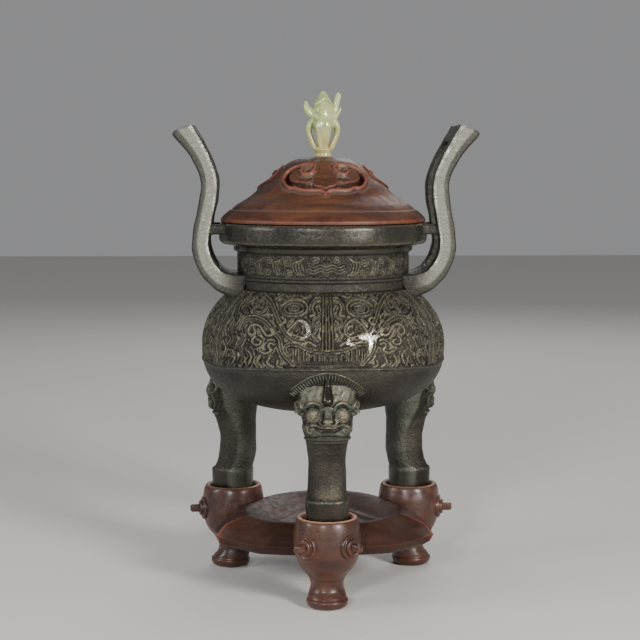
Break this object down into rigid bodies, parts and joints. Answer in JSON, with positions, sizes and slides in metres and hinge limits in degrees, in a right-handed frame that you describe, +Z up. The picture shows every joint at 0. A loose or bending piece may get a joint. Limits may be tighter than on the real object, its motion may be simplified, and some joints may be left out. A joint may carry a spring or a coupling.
{
  "type": "bronze censer",
  "caption": "Archaic-style bronze tripod censer with loop handles and animal-mask legs, a carved wood cover with a jade finial, and a carved wood stand with a cup under each leg.",
  "frame": {"origin": "on the floor under the middle of the whole object's outline; the vessel's upright axis stands 6.4 mm behind it, towards +Y", "axes": "+Z up, front leg towards -Y, handles along +X and -X"},
  "size_m": [0.211, 0.1838, 0.3418],
  "materials": {
    "bronze": "dark brown-green patina with worn highlights",
    "dark_wood": "waxed dark red hardwood",
    "jade": "polished pale celadon"
  },
  "bodies": {
    "root": {"bronze_censer": "bronze", "wood_lid": "dark_wood", "jade_finial": "jade", "wood_stand": "dark_wood"}
  },
  "joints": []
}
